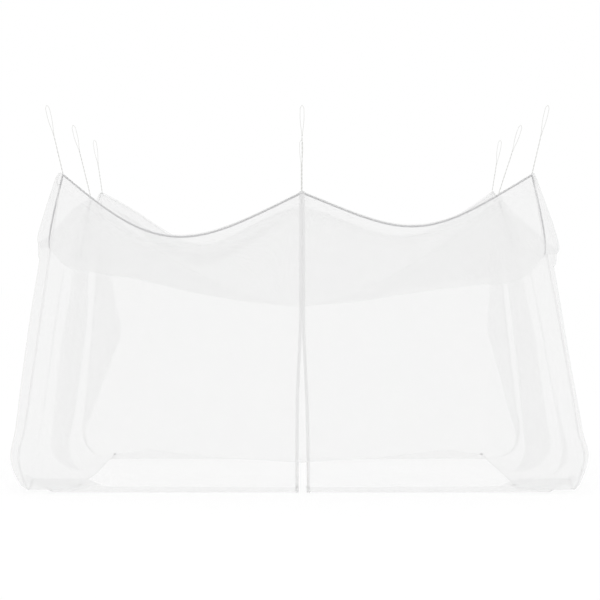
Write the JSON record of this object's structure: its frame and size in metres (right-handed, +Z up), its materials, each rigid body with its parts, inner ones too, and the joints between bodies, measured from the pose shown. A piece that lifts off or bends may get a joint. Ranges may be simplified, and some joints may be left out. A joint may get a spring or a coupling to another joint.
{
  "type": "gazebo mosquito net",
  "caption": "Hung box of sheer white net with a scalloped taped top, a sagging roof, walls that turn in on the ground, an opening in the front and cords with tied loops to hang it by",
  "frame": {"origin": "where the net hangs from: over its middle, at the height of the loops of its cords, 2.2 m above the ground", "axes": "+Z up, +Y away from the side with the opening, +X to the right of someone who faces the opening"},
  "size_m": [3.3707, 2.6812, 2.204],
  "materials": {
    "net": "fine knitted mesh, sheer, matt",
    "tape": "narrow woven tape, grey outside and white inside",
    "binding": "thin woven binding, matt",
    "cord": "thin twisted cord, matt"
  },
  "bodies": {
    "root": {"roof": "net", "wall_front_left": "net", "wall_front_right": "net", "wall_right": "net", "wall_back": "net", "wall_left": "net", "tape_front_left": "tape", "tape_front_right": "tape", "tape_right": "tape", "tape_back": "tape", "tape_left": "tape", "binding_front_left": "binding", "binding_front_right": "binding", "cord_front_left": "cord", "cord_front_middle": "cord", "cord_front_right": "cord", "cord_right_middle": "cord", "cord_back_right": "cord", "cord_back_middle": "cord", "cord_back_left": "cord", "cord_left_middle": "cord"}
  },
  "joints": []
}
